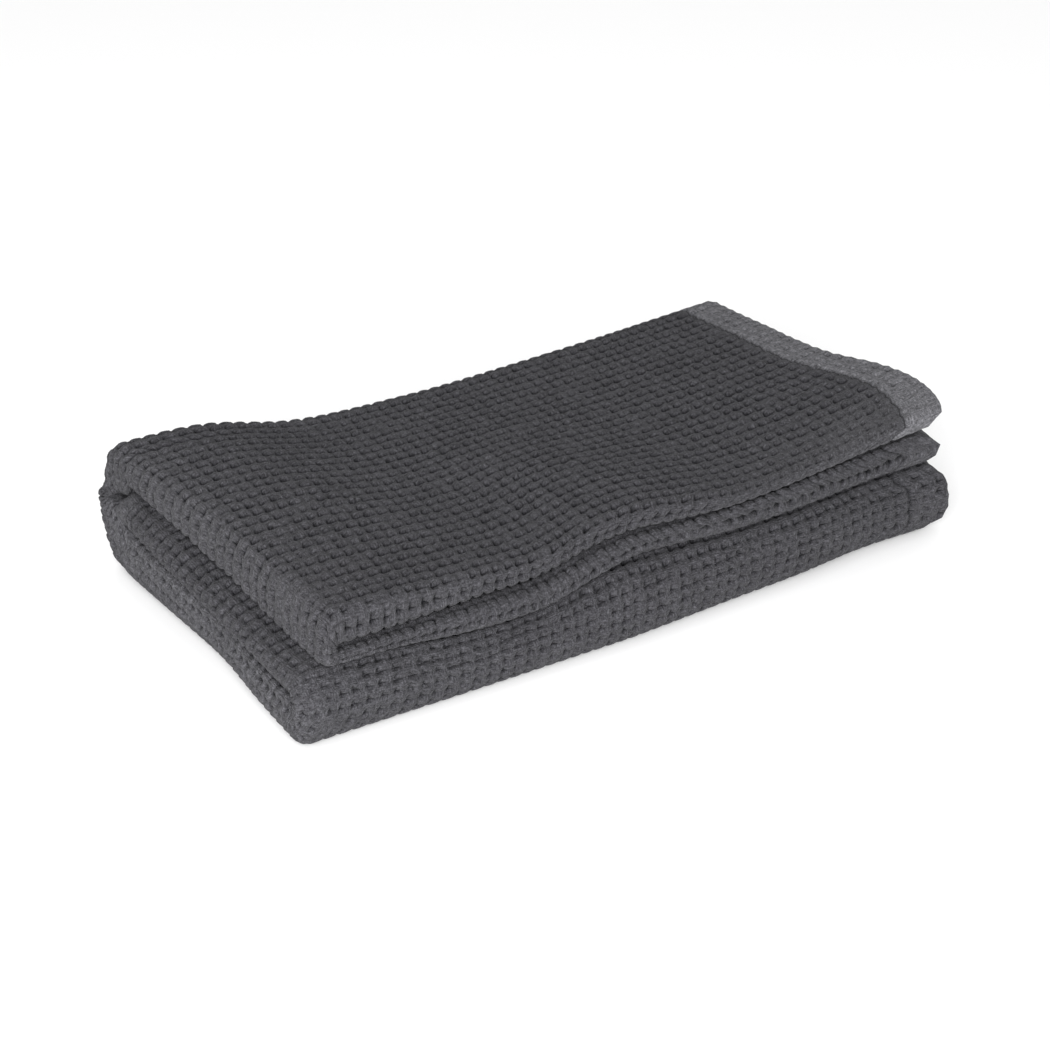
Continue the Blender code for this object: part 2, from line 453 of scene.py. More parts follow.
@dataclass(frozen=True)
class Spot:
    """A soft oval: a worn spot takes away a share of the cloth's relief, and a spot of painted light
    a share of its dark colour.

    Args:
        column: its middle's column.
        row: its middle's row.
        columns: its radius along the rows, in columns.
        rows: its radius along the columns, in rows.
        lost: the share lost in its middle.
        core: the part of its radius over which that share holds; it fades over one radius more.
    """

    column: float
    row: float
    columns: float
    rows: float
    lost: float
    core: float = 0.5

    def left(self, column: Array, row: Array) -> Array:
        """Return the share that the spot leaves at each place of the lattice."""
        far = np.hypot((column - self.column) / self.columns, (row - self.row) / self.rows)
        return 1.0 - self.lost * (1.0 - ease(far - self.core))


@dataclass(frozen=True)
class CellShape:
    """The relief of one cell, in cells where it isn't in millimetres.

    Args:
        hollow: how deep a pit lies under the ridges.
        crease: how deep the creases beside a pit lie.
        pad: how far the soft pads stand up.
        pit_radius: a pit's radius.
        crease_radius: half a crease's width.
        crease_reach: how far the creases run towards lower columns and towards lower rows.
        behind: how far past its pit a crease starts.
        pad_middle: a pad's middle from its pit, towards lower columns and lower rows.
        pad_radius: a pad's radius.
        pad_change: how much the pads' heights differ.
        pad_ripples: how quickly they differ by column and by row.
        painted_shade_from: the depth's share at which painted shade starts to darken a place.
        painted_shade_over: the further share over which that painted shade grows full.
    """

    hollow: float = 3.6 * MM
    crease: float = 3.2 * MM
    pad: float = 1.1 * MM
    pit_radius: float = 0.13
    crease_radius: float = 0.09
    crease_reach: tuple[float, float] = (0.95, 0.7)
    behind: float = 0.15
    pad_middle: tuple[float, float] = (0.43, 0.4)
    pad_radius: float = 0.42
    pad_change: float = 0.3
    pad_ripples: tuple[float, float] = (1.7, 1.3)
    # painted shade: the depth's share darkens the colour in the pits and creases, where shade falls
    painted_shade_from: float = 0.2
    painted_shade_over: float = 0.55


@dataclass(frozen=True)
class Hem:
    """The pressed hems along the cloth's four edges, with their paleness, which on the top third's
    hem is painted light.

    Args:
        width: a hem's width, in cells.
        inset: how far inside its stitches a hem starts to rise to the open weave, in cells.
        rise: over how many cells it rises.
        relief_lost: the share of the weave's relief that full pressing takes away.
        upper_end: how far the upper end's hem is pressed.
        upper_end_on_top: how much further on the top third.
        lower_end: how far the lower end's hem is pressed.
        sides: how far the hems along the sides are pressed.
        pale: how much paler every pressed hem is coloured.
        painted_light_on_top: painted light on the upper end's hem on the top third, which faces the
            light.
        painted_light_at_front: more painted light on it towards the front.
        front_rows: the row from which that painted light grows towards the front, and over how many
            rows.
        pale_gain: how much paleness a hem's pressing gives, its painted light included.
        groove: how deep the stitches pull the cloth in.
        groove_radius: half the groove's width, in cells.
        painted_groove_shade: how much painted shade darkens the stitch groove.
    """

    width: float = 2.5
    inset: float = 0.05
    rise: float = 0.3
    relief_lost: float = 0.95
    upper_end: float = 0.25
    upper_end_on_top: float = 0.3
    lower_end: float = 0.6
    sides: float = 0.7
    pale: float = 0.08
    # painted light: the top third's hem, which faces the light, is painted paler, more towards the
    # front
    painted_light_on_top: float = 0.8
    painted_light_at_front: float = 0.12
    front_rows: tuple[float, float] = (76.0, 18.0)
    pale_gain: float = 1.8
    groove: float = 1.1 * MM
    groove_radius: float = 0.08
    # painted shade laid along the stitch groove
    painted_groove_shade: float = 0.8


@dataclass(frozen=True)
class ColumnLayout:
    """How the column lines run over the folded cloth.

    Args:
        crowding: how much closer the cells lie at the left turn than halfway along.
        hem_reach: how far the lines follow the hemmed end.
        straightening: how far past that they take to turn straight across the stack.
        turn_reach: how far before the left turn they start to meet whole numbers there.
        hem_widening: how much wider the hem is near the front.
        widened_rows: the lower and upper rows where that starts.
        widening_rows: over how many rows it grows.
        held_before: rows before the long fold from which the lines go straight on.
        held_after: rows after it where they stop doing so.
        release_rows: over how many rows they go back to their own run.
    """

    crowding: float = 0.15
    hem_reach: float = 41 * MM
    straightening: float = 90 * MM
    turn_reach: float = 220 * MM
    hem_widening: float = 0.15
    widened_rows: tuple[float, float] = (33.0, 87.0)
    widening_rows: float = 7.0
    held_before: float = 1.0
    held_after: float = 6.0
    release_rows: float = 12.0

    def near_front(self, row: Array) -> Array:
        """Return 1 for rows near the front of the stack and 0 for the others, with soft steps."""
        lower, upper = ((row - start) / self.widening_rows for start in self.widened_rows)
        return ease(upper) + 1.0 - ease(lower)


@dataclass
class Weave:
    """The waffle lattice on the folded cloth.

    Args:
        cloth: the folded surface.
        cell: the weave's repeat.
        shape: one cell's relief.
        hem: the pressed hems.
        layout: how the column lines run.
        puff: how far the pads stand out of the part's own surface.
        sway: how far the grooves stray from straight lines.
        sway_ripples: how quickly they stray, by column and row and then by row and column.
        sway_starts: where those waves start.
        sway_edge: cells from the cloth's edge over which the straying grows.
        top_step: rows over which the top third's own values set in.
        lie_height: below this height the cloth is pressed on the table.
        lie_share: the share of the relief that is left on the table.
        depth_spread: how much the cells' depths differ.
        shift_spread: how much the cells' middles are shifted, in cells.
        worn_spots: where the relief is worn.
        painted_light_spots: spots of painted light where the colour is made paler: the bottom
            third's left end, lit from the floor, the top third's back left, and the top hem's front
            corner.
        ruler_place: distance along the cloth at which the rows are measured out.
        seed: seed of the weave's small unevenness.
    """

    cloth: FoldedCloth = field(default_factory=FoldedCloth)
    cell: float = 10 * MM
    shape: CellShape = CellShape()
    hem: Hem = Hem()
    layout: ColumnLayout = ColumnLayout()
    puff: float = 1.0 * MM
    sway: float = 0.45 * MM
    sway_ripples: tuple[tuple[float, float], ...] = ((1.3, 0.8), (1.1, 0.9))
    sway_starts: tuple[float, float] = (2.0, 5.0)
    sway_edge: float = 4.0
    top_step: float = 8.0
    lie_height: float = 15 * MM
    lie_share: float = 0.45
    depth_spread: float = 0.25
    shift_spread: float = 0.07
    worn_spots: tuple[Spot, ...] = (
        Spot(6.0, 95.0, 12.0, 4.5, 0.4),
        Spot(53.0, 93.0, 6.0, 5.0, 0.3),
        Spot(53.5, 27.0, 5.0, 6.0, 0.4),
        Spot(55.5, 72.0, 3.5, 20.0, 0.2),
    )
    # painted light: paler patches on the bottom third's left end, the top third's back left and the
    # top hem's front corner
    painted_light_spots: tuple[Spot, ...] = (
        Spot(56.0, 44.0, 5.0, 20.0, 0.28),
        Spot(55.0, 70.0, 6.0, 24.0, 0.14),
        Spot(3.0, 96.0, 8.0, 6.0, 0.18),
    )
    ruler_place: float = 325 * MM
    seed: int = 11

    def __post_init__(self) -> None:
        """Lay the lattice on the folded cloth by its real lengths."""
        chance = np.random.default_rng(self.seed)
        wave_count, fastest = 10, 0.9
        self.wave_steps = chance.uniform(-fastest, fastest, (wave_count, 2))
        self.wave_starts = chance.uniform(0.0, 2 * math.pi, wave_count)
        cloth = self.cloth
        samples = 2400
        across = np.linspace(0.0, cloth.flat_width, samples)
        ruler = np.full_like(across, self.ruler_place)
        lengths = self.run_lengths(cloth.place(ruler, across, cloth.thickness / 2)[None])[0]
        self.rows = round(lengths[-1] / self.cell)
        marks = lengths / lengths[-1] * self.rows
        self.row_across = np.interp(self.places(self.rows), marks, across)
        turns = [*cloth.turn_marks, cloth.half_width + cloth.long_fold_arc]
        self.turn_rows = TurnRows(*np.interp(turns, across, marks))
        self.lay_columns()
        spread = np.array([self.depth_spread, self.shift_spread, self.shift_spread])
        values = chance.normal(0.0, 1.0, (len(CellValue), self.columns, self.rows))
        furthest = 2.0
        self.cells = values.clip(-furthest, furthest) * spread[:, None, None]
        self.cells[CellValue.DEPTH.value] += 1.0

    @staticmethod
    def run_lengths(lines: Array) -> Array:
        """Return the distance run along each line of points, from its first point."""
        steps = np.linalg.norm(np.diff(lines, axis=1), axis=2)
        return np.concatenate([np.zeros((len(lines), 1)), np.cumsum(steps, axis=1)], axis=1)

    def places(self, cells: int) -> Array:
        """Return the lattice places of a run of cells, closer together in the pits."""
        steps = np.array([0.0, 0.24, 0.41, 0.5, 0.59, 0.76])
        return np.append((np.arange(cells)[:, None] + steps).ravel(), float(cells))

    def lay_columns(self) -> None:
        """Find where each column line crosses each row line, on the upper and the lower layer."""
        cloth = self.cloth
        layer_samples, turn_samples = 160, 60
        flat_run = np.linspace(0.0, cloth.layer_length, layer_samples)
        turn_run = np.linspace(
            cloth.layer_length, cloth.layer_length + cloth.left_arc, turn_samples
        )
        upper_run = np.concatenate([flat_run, turn_run[1:]])
        lower_run = cloth.flat_length - flat_run
        upper, upper_count = self.number_columns(upper_run)
        lower, lower_count = self.number_columns(lower_run)
        self.turn_column, self.columns = upper_count, upper_count + lower_count
        marks = self.places(self.columns)
        on_upper = marks <= upper_count
        from_lower_end = (self.columns - marks[~on_upper])[::-1]
        self.column_along = np.array([
            np.concatenate([
                np.interp(marks[on_upper], over, upper_run),
                np.interp(from_lower_end, under, lower_run)[::-1],
            ])
            for over, under in zip(upper, lower)
        ])

    def number_columns(self, along: Array) -> tuple[Array, int]:
        """Number the column lines on one layer of the cloth.

        A line's number is the distance run from the hemmed end, in cells. Past the hem it turns
        straight across the stack, and towards the left turn it meets a whole number. With s the
        share of the way to the turn, the cells crowd towards it by s - crowding sin(pi s) / pi.
        Round the long fold the lines go straight on from where the fold starts.

        Args:
            along: places along the cloth, from the layer's hemmed end to the left turn.

        Returns:
            The number at each of those places on every row line, and the number at the turn.
        """
        cloth, layout = self.cloth, self.layout
        points = cloth.place(*np.meshgrid(along, self.row_across), cloth.thickness / 2)
        run = self.run_lengths(points)
        hem_x = points[:, :1, 0]
        straight = np.median(hem_x) - hem_x
        count = round(float(np.median(run[:, -1])) / self.cell)
        past_hem = ease((run - layout.hem_reach) / layout.straightening)
        row = self.places(self.rows)
        narrow = -layout.hem_widening * layout.near_front(row)[:, None]
        on_hem = ease(run / layout.hem_reach) * (1.0 - past_hem)
        run = run + narrow * layout.hem_reach * on_hem
        near_turn = ease((run - run[:, -1:]) / layout.turn_reach + 1.0)
        missing = count * self.cell - run[:, -1:] - straight
        share = (run + past_hem * straight + near_turn * missing) / self.cell / count
        number = count * (share - layout.crowding * np.sin(math.pi * share) / math.pi)
        fold_start = self.turn_rows.long_start - layout.held_before
        fold_end = self.turn_rows.long_end + layout.held_after
        in_fold = ease(row - fold_start) * (1.0 - ease((row - fold_end) / layout.release_rows))
        before_fold = number[np.searchsorted(row, fold_start)]
        return number + in_fold[:, None] * (before_fold - number), count

    def waves(self, column: Array, row: Array) -> Array:
        """Return a soft unevenness of about -1 to 1: ten sine waves over the lattice, added up.

        Args:
            column: places by column, in cells.
            row: places by row, in cells.

        Returns:
            The unevenness at each place.
        """
        total = np.zeros_like(column)
        for (by_column, by_row), start in zip(self.wave_steps, self.wave_starts):
            total += np.sin(by_column * column + by_row * row + start)
        largest = 4.0
        return total / largest

    def pressed(self, column: Array, row: Array) -> Array:
        """Return how far the cloth is pressed flat.

        Args:
            column: lattice columns, in cells.
            row: lattice rows, in cells.

        Returns:
            The share at each place: most on the hems along the sides, 0 on the open weave.
        """
        hem = self.hem
        upper_end = hem.upper_end + hem.upper_end_on_top * self.on_top(row)
        flat = np.zeros_like(column)
        for edge, share in (
            (column, upper_end),
            (self.columns - column, hem.lower_end),
            (np.minimum(row, self.rows - row), hem.sides),
        ):
            flat = np.maximum(flat, share * (1.0 - ease((edge - hem.width + hem.inset) / hem.rise)))
        return flat

    def on_top(self, row: Array) -> Array:
        """Return 1 for rows of the top third and 0 for rows of the others, with a soft step."""
        return ease((row - self.turn_rows.back_start) / self.top_step)

    def pale(self, column: Array, row: Array) -> Array:
        """Return how pale the cloth is coloured: a little on every pressed hem, and painted light on
        the top third's hem and on the spots of painted light.

        Args:
            column: lattice columns, in cells.
            row: lattice rows, in cells.

        Returns:
            The paleness of each place, from 0 to 1, partly painted light.
        """
        hem = self.hem
        first, step = hem.front_rows
        # painted light on the top third's hem, growing towards the front
        on_hem = (1.0 - ease(column / hem.width - 1.0)) * self.on_top(row)
        at_front = hem.painted_light_at_front * ease((row - first) / step)
        paleness = hem.pale + on_hem * (hem.painted_light_on_top + at_front)
        by_hem = hem.pale_gain * self.pressed(column, row) * paleness
        # the painted light spots make the colour paler where more light falls
        return np.maximum(by_hem, 1.0 - self.left_by(self.painted_light_spots, column, row)).clip(0.0, 1.0)

    @staticmethod
    def left_by(spots: tuple[Spot, ...], column: Array, row: Array) -> Array:
        """Return the share that all the spots together leave at each place of the lattice."""
        return math.prod(spot.left(column, row) for spot in spots)

    def relief(self, column: Array, row: Array) -> tuple[Array, Array]:
        """Return how deep the weave lies under its highest crest.

        Each cell has a pit, exp(-(r / pit radius)^2), and from it two creases run towards lower
        columns and lower rows, exp(-(d / crease radius)^2), and fade out on the way to the next
        pit. In the angle between them stands a soft pad, exp(-(r / pad radius)^4). Here r and d are
        distances in cells, and every cell has its own depth. Hems are pressed, with a thin groove
        along the stitches, exp(-(d / groove radius)^2).

        Args:
            column: lattice columns, in cells.
            row: lattice rows, in cells.

        Returns:
            The depth in metres, and the painted shade for it, from 0 to 1: darker colour in the
            pits, creases and stitch grooves, where shade falls.
        """
        shape, hem = self.shape, self.hem
        to_column, to_row = (
            (MIDDLE + shape.behind - place) % 1.0 - shape.behind for place in (column, row)
        )
        own_depth = self.cell_value(CellValue.DEPTH, column + to_column, row + to_row)
        pit = np.exp(-((to_column ** 2 + to_row ** 2) / shape.pit_radius ** 2))
        crease = np.zeros_like(pit)
        for ahead, aside, reach in zip(
            (to_column, to_row), (to_row, to_column), shape.crease_reach
        ):
            run = ease((ahead + shape.behind) / shape.behind) * (1.0 - ease(ahead / reach))
            crease = np.maximum(crease, run * np.exp(-((aside / shape.crease_radius) ** 2)))
        from_pad = (to_column - shape.pad_middle[0]) ** 2 + (to_row - shape.pad_middle[1]) ** 2
        pad = np.exp(-(from_pad / shape.pad_radius ** 2) ** 2)
        by_column, by_row = shape.pad_ripples
        uneven = 1.0 + shape.pad_change * self.waves(column * by_column, row * by_row)
        left = 1.0 - hem.relief_lost * self.pressed(column, row)
        left = left * self.left_by(self.worn_spots, column, row)
        dark = np.maximum(pit, shape.crease / shape.hollow * crease) * own_depth
        depth = (shape.hollow * dark + shape.pad * uneven * (1.0 - pad)) * left
        # painted shade: the colour is darkened in the pits and creases, where shade falls
        share = ease((dark * left - shape.painted_shade_from) / shape.painted_shade_over)
        # the stitch grooves get painted shade besides their real depth
        for edge in (column, self.columns - column, row, self.rows - row):
            groove = np.exp(-(((edge - hem.width) / hem.groove_radius) ** 2))
            depth = depth + hem.groove * groove
            share = np.maximum(share, hem.painted_groove_shade * groove)
        return depth, share

    def cell_value(self, kind: CellValue, column: Array, row: Array) -> Array:
        """Return one of the cells' own random values.

        Args:
            kind: which of the values.
            column: lattice columns, in cells.
            row: lattice rows, in cells.

        Returns:
            The value of the cell round each place.
        """
        cell_column = np.clip(np.floor(column).astype(int), 0, self.columns - 1)
        cell_row = np.clip(np.floor(row).astype(int), 0, self.rows - 1)
        return self.cells[kind.value, cell_column, cell_row]

    def at(self, column: Array, row: Array) -> tuple[Array, Array]:
        """Find places of the lattice on the cloth.

        Between the lattice's lines a place is found by straight interpolation in both directions,
        and then it strays a little, by the waves.

        Args:
            column: lattice columns, in cells.
            row: lattice rows, in cells.

        Returns:
            The lengths along and across the cloth.
        """
        column_marks, row_marks = self.places(self.columns), self.places(self.rows)
        across = np.interp(row, row_marks, self.row_across)
        right, above = (
            np.clip(np.searchsorted(marks, place), 1, len(marks) - 1)
            for marks, place in ((column_marks, column), (row_marks, row))
        )
        by_column, by_row = (
            (place - marks[after - 1]) / (marks[after] - marks[after - 1])
            for marks, place, after in ((column_marks, column, right), (row_marks, row, above))
        )
        crossings = self.column_along
        low, high = (
            crossings[line, right - 1] * (1.0 - by_column) + crossings[line, right] * by_column
            for line in (above - 1, above)
        )
        along = low * (1.0 - by_row) + high * by_row
        to_end = np.minimum(column, self.columns - column)
        to_side = np.minimum(row, self.rows - row)
        sway = self.sway * ease(np.minimum(to_end, to_side) / self.sway_edge)
        (a_column, a_row), (b_row, b_column) = self.sway_ripples
        a_start, b_start = self.sway_starts
        along = along + sway * self.waves(column * a_column, row * a_row + a_start)
        across = across + sway * self.waves(row * b_row + b_start, column * b_column)
        return along, across

    def face(
        self, column: Array, row: Array, side: Side, raise_by: float = 0.0
    ) -> tuple[Array, Array, Array]:
        """Return points of the woven surface.

        Each point is moved from the cloth's face along the face's normal, which is the cross
        product of the surface's two slopes, by the puff less the weave's relief.

        Args:
            column: lattice columns, in cells.
            row: lattice rows, in cells.
            side: the face of the cloth.
            raise_by: further distance along the normal.

        Returns:
            The points, their normals and their painted shade, from 0 to 1.
        """
        cloth = self.cloth
        inside = in_middle(column) * in_middle(row)
        along, across = self.at(
            column + inside * self.cell_value(CellValue.COLUMN_SHIFT, column, row),
            row + inside * self.cell_value(CellValue.ROW_SHIFT, column, row),
        )
        lift = side.value * cloth.thickness / 2
        points = cloth.place(along, across, lift)
        along_in = np.clip(along, PROBE, cloth.flat_length - PROBE)
        across_in = np.clip(across, PROBE, cloth.flat_width - PROBE)
        slope_along = cloth.place(along_in + PROBE, across, lift)
        slope_along -= cloth.place(along_in - PROBE, across, lift)
        slope_across = cloth.place(along, across_in + PROBE, lift)
        slope_across -= cloth.place(along, across_in - PROBE, lift)
        normal = np.cross(slope_along, slope_across)
        normal /= np.linalg.norm(normal, axis=1)[:, None]
        if side is Side.INNER:
            return points, -normal, np.zeros(len(points))
        depth, share = self.relief(column, row)
        lies = self.lie_share + (1.0 - self.lie_share) * ease(points[:, 2] / self.lie_height)
        points = points + normal * ((self.puff - depth) * lies + raise_by)[:, None]
        points[:, 2] = np.maximum(points[:, 2], 0.0)
        return points, normal, share


def new_material(name: str, roughness: float) -> tuple[Material, Tree, bpy.types.Node]:
    """Start a material.

    Args:
        name: the material's name.
        roughness: how matt it is.

    Returns:
        The material, its node tree and its Principled BSDF.
    """
    material = bpy.data.materials.new(name)
    material.use_nodes = True
    shader = material.node_tree.nodes["Principled BSDF"]
    shader.inputs["Roughness"].default_value = roughness
    return material, material.node_tree, shader


def place_group(tree: Tree, group: Tree) -> bpy.types.Node:
    """Put a node group into a material.

    Args:
        tree: the material's node tree.
        group: the group.

    Returns:
        The group's node.
    """
    node = tree.nodes.new("ShaderNodeGroup")
    node.node_tree = group
    return node


def attribute_share(tree: Tree, name: str) -> Socket:
    """Read one of the mesh's attributes.

    Args:
        tree: the material's node tree.
        name: the attribute's name.

    Returns:
        The socket that gives its value.
    """
    node = tree.nodes.new("ShaderNodeAttribute")
    node.attribute_name = name
    return node.outputs["Fac"]


def toned(tree: Tree, colour: Triple | Socket, tone: Socket) -> Socket:
    """Return a colour times a tone.

    Args:
        tree: the material's node tree.
        colour: the colour, or the socket that gives it.
        tone: the socket that gives the tone.

    Returns:
        The socket with the toned colour.
    """
    node = tree.nodes.new("ShaderNodeVectorMath")
    node.operation = "SCALE"
    if isinstance(colour, Socket):
        tree.links.new(colour, node.inputs[0])
    else:
        node.inputs[0].default_value = colour
    tree.links.new(tone, node.inputs["Scale"])
    return node.outputs[0]


@dataclass(frozen=True)
class CottonFinish:
    """Charcoal cotton yarn, soft and a little fuzzy.

    Args:
        name: the material's name.
        crest: colour of the raised yarns.
        hollow: the painted shade colour, reached deep in the pits and creases and in the stitch
            grooves.
        hem: the pale colour of pressed hems, reached mostly as painted light on the top third's hem
            and in the spots of painted light.
        roughness: how matt it is.
        sheen: how much light its loose fibres catch.
        sheen_roughness: how widely they spread it.
        specular: strength of its mirror reflection.
        bump: how strongly the yarns and the fuzz turn the light.
        yarn_height: how high the yarns stand.
        fuzz_height: how high the fuzz stands.
    """

    name: str = "charcoal_cotton_waffle"
    crest: Triple = (0.0395, 0.0388, 0.0430)
    # painted shade colour, mixed in by the depth attribute in pits, creases and stitch grooves
    hollow: Triple = (0.002, 0.002, 0.003)
    # pale colour that the hem attribute mixes in, mostly as painted light
    hem: Triple = (0.104, 0.103, 0.111)
    roughness: float = 0.93
    sheen: float = 0.05
    sheen_roughness: float = 0.5
    specular: float = 0.08
    bump: float = 0.7
    yarn_height: float = 0.6 * MM
    fuzz_height: float = 0.8 * MM

    def material(self) -> Material:
        """Return the material, built from the yarn and fuzz groups.

        The colour goes from crest to the pale hem colour by the hem attribute, partly painted light,
        and on to hollow, the painted shade in pits, creases and stitch grooves, by the depth
        attribute, and is then multiplied by the tones of the fuzz and of the yarns.
        """
        material, tree, shader = new_material(self.name, self.roughness)
        shader.inputs["Sheen Weight"].default_value = self.sheen
        shader.inputs["Sheen Roughness"].default_value = self.sheen_roughness
        shader.inputs["Specular IOR Level"].default_value = self.specular
        weave = tree.nodes.new("ShaderNodeUVMap")
        weave.uv_map = "weave"
        place = tree.nodes.new("ShaderNodeTexCoord")
        yarns = place_group(tree, YarnPattern().group())
        fuzz = place_group(tree, FuzzPattern().group())
        tree.links.new(weave.outputs["UV"], yarns.inputs["Weave"])
        tree.links.new(place.outputs["Object"], fuzz.inputs["Place"])
        # paler by the hem attribute: a little on every hem, painted light on the top hem and in the
        # painted light spots
        cloth = mix_colours(tree, attribute_share(tree, "hem"), self.crest, self.hem)
        # painted shade: darker towards hollow in the pits, creases and stitch grooves
        cloth = mix_colours(tree, attribute_share(tree, "depth"), cloth, self.hollow)
        tone = MathChain(tree).step("MULTIPLY", fuzz.outputs["Tone"], yarns.outputs["Tone"])
        tree.links.new(toned(tree, cloth, tone), shader.inputs["Base Color"])
        normal = None
        for height, distance in (
            (yarns.outputs["Height"], self.yarn_height),
            (fuzz.outputs["Height"], self.fuzz_height),
        ):
            raised = tree.nodes.new("ShaderNodeBump")
            raised.inputs["Strength"].default_value = self.bump
            raised.inputs["Distance"].default_value = distance
            tree.links.new(height, raised.inputs["Height"])
            if normal:
                tree.links.new(normal, raised.inputs["Normal"])
            normal = raised.outputs["Normal"]
        tree.links.new(normal, shader.inputs["Normal"])
        return material


@dataclass(frozen=True)
class ThreadFinish:
    """Sewing thread of the stitch lines.

    Args:
        name: the material's name.
        colour: the thread's colour.
        roughness: how matt it is.
    """

    name: str = "charcoal_thread"
    colour: Triple = (0.010, 0.010, 0.012)
    roughness: float = 0.7

    def material(self) -> Material:
        """Return the thread's material, with the cotton's fuzz on it."""
        material, tree, shader = new_material(self.name, self.roughness)
        place = tree.nodes.new("ShaderNodeTexCoord")
        fuzz = place_group(tree, FuzzPattern().group())
        tree.links.new(place.outputs["Object"], fuzz.inputs["Place"])
        tree.links.new(toned(tree, self.colour, fuzz.outputs["Tone"]), shader.inputs["Base Color"])
        return material


def mix_colours(
    tree: Tree, share: Socket, first: Triple | Socket, second: Triple | Socket
) -> Socket:
    """Return a mix of two colours.

    Args:
        tree: the material's node tree.
        share: the socket that gives the second colour's share.
        first: a colour, or the socket that gives it.
        second: a colour, or the socket that gives it.

    Returns:
        The socket with the mixed colour.
    """
    mix = tree.nodes.new("ShaderNodeMix")
    mix.data_type = "RGBA"
    tree.links.new(share, mix.inputs["Factor"])
    for colour, name in ((first, "A"), (second, "B")):
        socket = next(s for s in mix.inputs if s.name == name and s.type == "RGBA")
        if isinstance(colour, Socket):
            tree.links.new(colour, socket)
        else:
            socket.default_value = (*colour, 1.0)
    return next(s for s in mix.outputs if s.type == "RGBA")


class MathChain:
    """Nodes added one after another to a node tree."""

    def __init__(self, tree: Tree) -> None:
        """Keep the tree that the nodes go in."""
        self.tree = tree

    def step(self, operation: str, *values: float | Socket) -> Socket:
        """Add one math node.

        Args:
            operation: what it works out.
            values: its numbers or sockets, in order.

        Returns:
            The socket with the result.
        """
        node = self.tree.nodes.new("ShaderNodeMath")
        node.operation = operation
        for socket, value in zip(node.inputs, values):
            if isinstance(value, Socket):
                self.tree.links.new(value, socket)
            else:
                socket.default_value = value
        return node.outputs[0]

    def noise(self, place: Socket, scale: float, detail: float) -> Socket:
        """Add one noise texture.

        Args:
            place: the socket with the place at which it is read.
            scale: how fine it is.
            detail: how many finer layers it has.

        Returns:
            The socket with its value.
        """
        node = self.tree.nodes.new("ShaderNodeTexNoise")
        node.inputs["Scale"].default_value = scale
        node.inputs["Detail"].default_value = detail
        self.tree.links.new(place, node.inputs["Vector"])
        return node.outputs["Fac"]


def new_group(
    name: str, vector: str, outputs: tuple[str, ...]
) -> tuple[Tree, Socket, bpy.types.Node]:
    """Return a new shader group with one vector input and some value outputs.

    Args:
        name: the group's name.
        vector: its input's name.
        outputs: its outputs' names.

    Returns:
        The group's tree, its vector input and the node that its outputs are linked to.
    """
    tree = bpy.data.node_groups.new(name, "ShaderNodeTree")
    tree.interface.new_socket(vector, in_out="INPUT", socket_type="NodeSocketVector")
    for output in outputs:
        tree.interface.new_socket(output, in_out="OUTPUT", socket_type="NodeSocketFloat")
    start = tree.nodes.new("NodeGroupInput")
    end = tree.nodes.new("NodeGroupOutput")
    return tree, start.outputs[vector], end


@dataclass(frozen=True)
class YarnPattern:
    """The yarns of one waffle cell: squares of parallel yarns that step down to its middle.

    Args:
        name: the group's name.
        yarns: yarns across a cell.
        twists: how many radians a yarn twists in a cell's length.
        slant: how many more it twists in a cell's width.
        twist_height: the twist's height, as a part of a yarn's.
        streaks_along: streaks in a cell along a yarn.
        streaks_across: how many more there are across it.
        other_streaks: how far away the streaks of the crossing yarns are read.
        streak_detail: finer layers in the streaks.
        contrast: how much the streaks change the tone.
        tone_shift: what is added to the tone.
        darkest: the lowest tone.
    """

    name: str = "waffle_yarns"
    yarns: int = 6
    twists: float = 40.0
    slant: float = 24.0
    twist_height: float = 0.3
    streaks_along: float = 2.5
    streaks_across: float = 5.0
    other_streaks: float = 7.0
    streak_detail: float = 2.0
    contrast: float = 2.4
    tone_shift: float = -0.2
    darkest: float = 0.3

    def group(self) -> Tree:
        """Return the yarns' node group, built once.

        The height is the absolute sine of the distance from the nearest ridge, with a slanting sine
        along the yarn for its twist. The tone is a noise drawn out along the yarn.
        """
        if self.name in bpy.data.node_groups:
            return bpy.data.node_groups[self.name]
        tree, weave, end = new_group(self.name, "Weave", ("Height", "Tone"))
        chain = MathChain(tree)
        split = tree.nodes.new("ShaderNodeSeparateXYZ")
        tree.links.new(weave, split.inputs[0])
        column, row = split.outputs[0], split.outputs[1]
        from_column, from_row = (
            chain.step("PINGPONG", place, MIDDLE) for place in (column, row)
        )
        nearest = chain.step("MINIMUM", from_column, from_row)
        on_column = chain.step("LESS_THAN", from_column, from_row)
        on_row = chain.step("SUBTRACT", 1.0, on_column)
        run = chain.step("MULTIPLY_ADD", column, on_row, chain.step("MULTIPLY", row, on_column))
        angle = chain.step("MULTIPLY", nearest, self.yarns * math.pi)
        wave = chain.step("ABSOLUTE", chain.step("SINE", angle))
        slant = chain.step("MULTIPLY", nearest, self.slant)
        slant = chain.step("MULTIPLY_ADD", run, self.twists, slant)
        twist = chain.step("MULTIPLY", chain.step("SINE", slant), self.twist_height)
        tree.links.new(chain.step("ADD", wave, twist), end.inputs["Height"])
        spot = tree.nodes.new("ShaderNodeCombineXYZ")
        for axis, (place, across) in enumerate(((column, on_column), (row, on_row))):
            often = chain.step("MULTIPLY_ADD", across, self.streaks_across, self.streaks_along)
            tree.links.new(chain.step("MULTIPLY", place, often), spot.inputs[axis])
        tree.links.new(chain.step("MULTIPLY", on_column, self.other_streaks), spot.inputs[2])
        streaks = chain.noise(spot.outputs[0], 1.0, self.streak_detail)
        tone = chain.step("MULTIPLY_ADD", streaks, self.contrast, self.tone_shift)
        tree.links.new(chain.step("MAXIMUM", tone, self.darkest), end.inputs["Tone"])
        return tree


